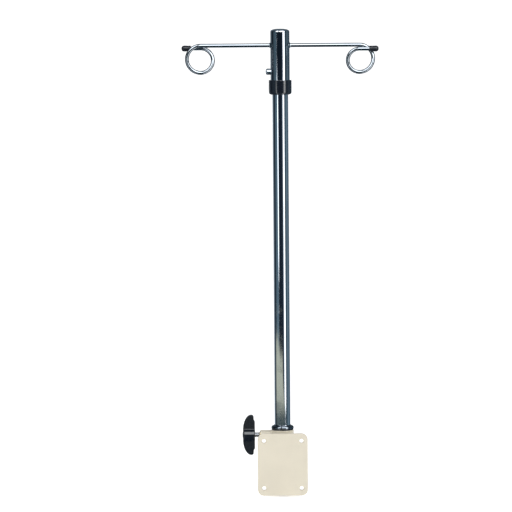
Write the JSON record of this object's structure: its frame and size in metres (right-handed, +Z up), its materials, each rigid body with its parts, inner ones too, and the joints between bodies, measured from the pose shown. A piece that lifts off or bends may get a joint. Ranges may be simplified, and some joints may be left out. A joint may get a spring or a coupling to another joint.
{
  "type": "equipment-mounted drip pole",
  "caption": "Chrome telescoping drip pole with a coiled-hook cross rod, push-button height release and a bolt-on socket bracket with a wing clamp.",
  "frame": {"origin": "centre of the four bolt holes, on the mounting face of the socket bracket", "axes": "+Z up along the pole, +X along the hook rod, -Y out of the mounting face; the pole axis stands 38 mm behind the face"},
  "size_m": [0.3144, 0.0562, 0.7455],
  "materials": {
    "chrome": "polished chrome plate on steel tube",
    "cream_paint": "cream powder coat on a casting",
    "black_plastic": "glossy black moulding",
    "black_vinyl": "dipped black vinyl",
    "nylon": "natural nylon",
    "steel": "bright zinc on steel",
    "aluminium": "satin aluminium",
    "brass": "turned brass"
  },
  "bodies": {
    "bracket": {"socket_bracket": "cream_paint", "socket_liner": "black_plastic", "thread_insert": "brass", "socket_end_cap": "black_plastic"},
    "clamp_pad": {"clamp_pad": "nylon"},
    "clamp_knob": {"clamp_screw": "steel", "wing_knob": "black_plastic", "knob_cap": "black_plastic"},
    "pole": {"pole_tube": "chrome", "seat_flange": "chrome", "flange_grub_screws": "steel", "pole_foot_plug": "black_plastic", "top_bush": "nylon"},
    "guide": {"guide_ring": "nylon"},
    "head": {"inner_tube": "chrome", "travel_stop": "nylon", "brake_spindle": "steel", "brake_cage": "steel", "brake_shoes": "steel", "cage_cap": "steel", "lock_spring": "steel", "head_sleeve": "chrome", "head_core": "aluminium", "head_cap": "chrome", "end_collar": "black_plastic", "cam_housing": "nylon", "hook_rod": "chrome", "rod_welds": "chrome", "hook_tip_left": "black_vinyl", "hook_tip_right": "black_vinyl"},
    "release_button": {"release_button": "chrome", "cam_plunger": "steel"},
    "release_rod": {"release_rod": "steel", "brake_cone": "brass"}
  },
  "joints": [
    {"name": "clamp_travel", "type": "slide", "parent": "bracket", "child": "clamp_pad", "axis": [-1, 0, 0], "range_m": [0, 0.0025]},
    {"name": "knob_turn", "type": "hinge", "parent": "clamp_pad", "child": "clamp_knob", "pos_m": [-0.05, 0.038, 0.044], "axis": [-1, 0, 0], "range_deg": [0, 720]},
    {"name": "pole_lift", "type": "slide", "parent": "bracket", "child": "pole", "axis": [0, 0, 1], "range_m": [0, 0.11]},
    {"name": "stage_raise", "type": "slide", "parent": "pole", "child": "guide", "axis": [0, 0, 1], "range_m": [0, 0.445]},
    {"name": "head_swivel", "type": "hinge", "parent": "guide", "child": "head", "pos_m": [0, 0.038, 0.071], "axis": [0, 0, 1], "continuous": true},
    {"name": "button_press", "type": "slide", "parent": "head", "child": "release_button", "axis": [1, 0, 0], "range_m": [0, 0.0035]},
    {"name": "rod_drop", "type": "slide", "parent": "head", "child": "release_rod", "axis": [0, 0, -1], "range_m": [0, 0.0035], "stiffness_N_per_m": 600, "springref_m": -0.003, "deforming": ["lock_spring"]}
  ],
  "couplings": [
    {"joint": "clamp_travel", "follows": "knob_turn", "m_per_rad": 0.00019894},
    {"joint": "button_press", "follows": "rod_drop", "ratio": 1}
  ]
}
